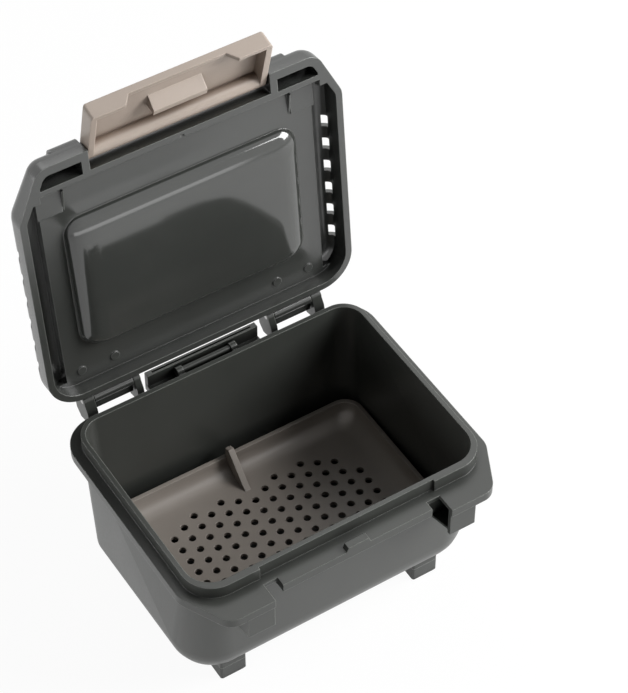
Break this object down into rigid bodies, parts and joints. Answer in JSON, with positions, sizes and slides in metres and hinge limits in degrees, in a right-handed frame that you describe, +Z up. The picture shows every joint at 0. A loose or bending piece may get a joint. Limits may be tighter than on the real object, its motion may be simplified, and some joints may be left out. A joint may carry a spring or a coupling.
{
  "type": "live bait box",
  "caption": "Small two-tone plastic bait box with a vented hinged lid, a swinging front latch, a perforated lift-out tray and feet.",
  "frame": {"origin": "middle of the bounding box in plan, on the plane that the feet stand on, with the lid open", "axes": "+X to the right seen from the front, +Y to the rear where the lid is hinged, +Z up"},
  "size_m": [0.16, 0.1614, 0.2485],
  "materials": {
    "body_grey": "fine satin moulding",
    "foot_grey": "dull",
    "lid_grey": "satin, glossy middle",
    "latch_beige": "satin",
    "tray_beige": "satin",
    "pin_steel": "plain"
  },
  "bodies": {
    "tub": {"body_tub": "body_grey", "foot_front_left": "foot_grey", "foot_front_right": "foot_grey", "foot_rear_left": "foot_grey", "foot_rear_right": "foot_grey", "hinge_pin_left": "pin_steel", "hinge_pin_right": "pin_steel", "strap_bar": "body_grey"},
    "lid": {"lid": "lid_grey", "latch_pin": "pin_steel"},
    "latch": {"latch_flap": "latch_beige"},
    "tray": {"bait_tray": "tray_beige"}
  },
  "joints": [
    {"name": "lid_hinge", "type": "hinge", "parent": "tub", "child": "lid", "pos_m": [0, 0.05745, 0.0876], "axis": [1, 0, 0], "range_deg": [0, 96.1]},
    {"name": "latch_hinge", "type": "hinge", "parent": "lid", "child": "latch", "pos_m": [0, 0.07283, 0.22028], "axis": [1, 0, 0], "range_deg": [-15, 70]},
    {"name": "tray_lift", "type": "slide", "parent": "tub", "child": "tray", "axis": [0, 0, 1], "range_m": [0, 0.12]}
  ]
}
